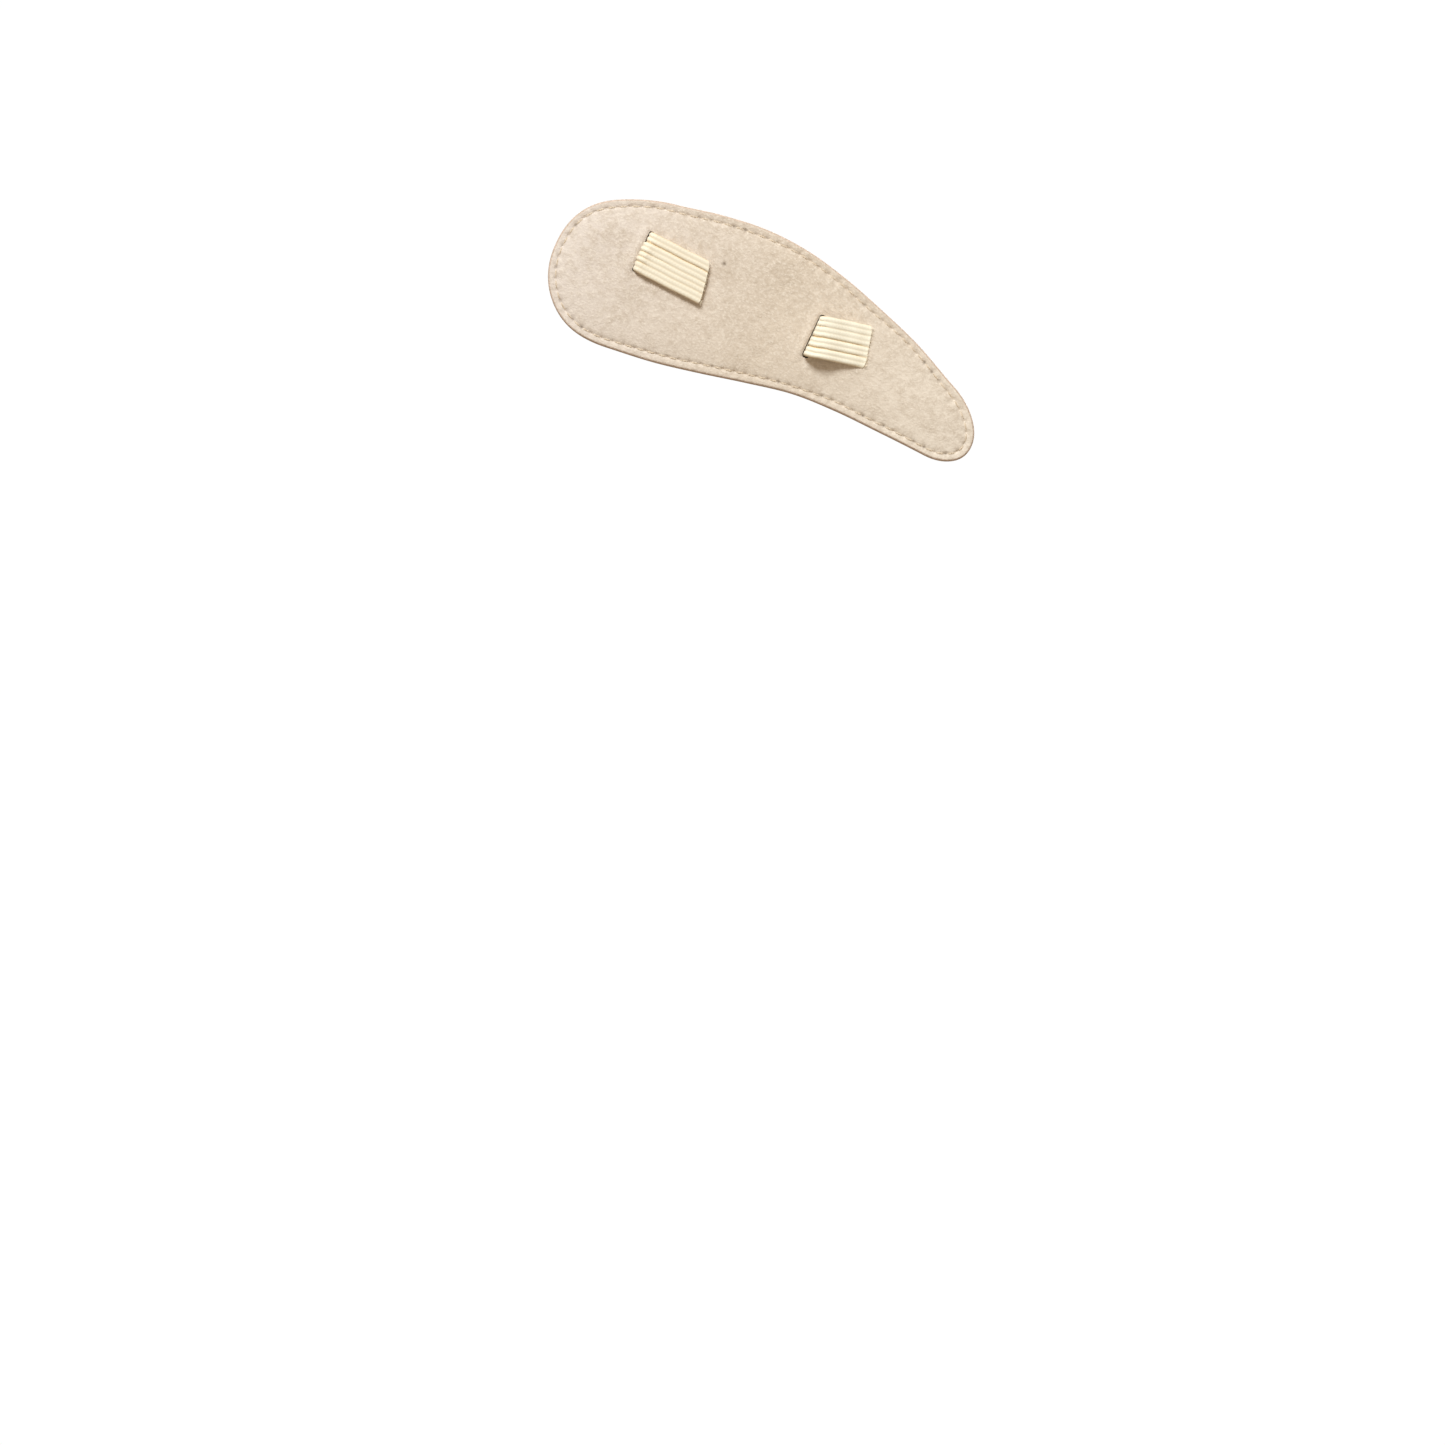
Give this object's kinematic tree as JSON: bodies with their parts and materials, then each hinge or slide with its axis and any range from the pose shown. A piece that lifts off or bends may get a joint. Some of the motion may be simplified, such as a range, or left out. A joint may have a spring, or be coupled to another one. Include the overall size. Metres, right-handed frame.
{
  "type": "hammer toe crest pad",
  "caption": "Teardrop suede crest pad for the hollow under the smaller toes, with a ribbed elastic loop that holds it to two toes.",
  "frame": {"origin": "on top of the crest, under the second and third toes, midway between the two legs of the elastic loop", "axes": "+X along the pad to its narrow end under the little toe, +Y from the sole face to the toes, +Z to the toe tips"},
  "size_m": [0.0856, 0.0321, 0.0325],
  "materials": {
    "suede_sole": "brushed suede, matte",
    "suede_crest": "brushed suede, matte",
    "elastic": "ribbed braided elastic, matte",
    "thread": "twisted sewing thread"
  },
  "bodies": {
    "root": {"sole_cover": "suede_sole", "crest_pad": "suede_crest", "toe_loop": "elastic"}
  },
  "joints": []
}
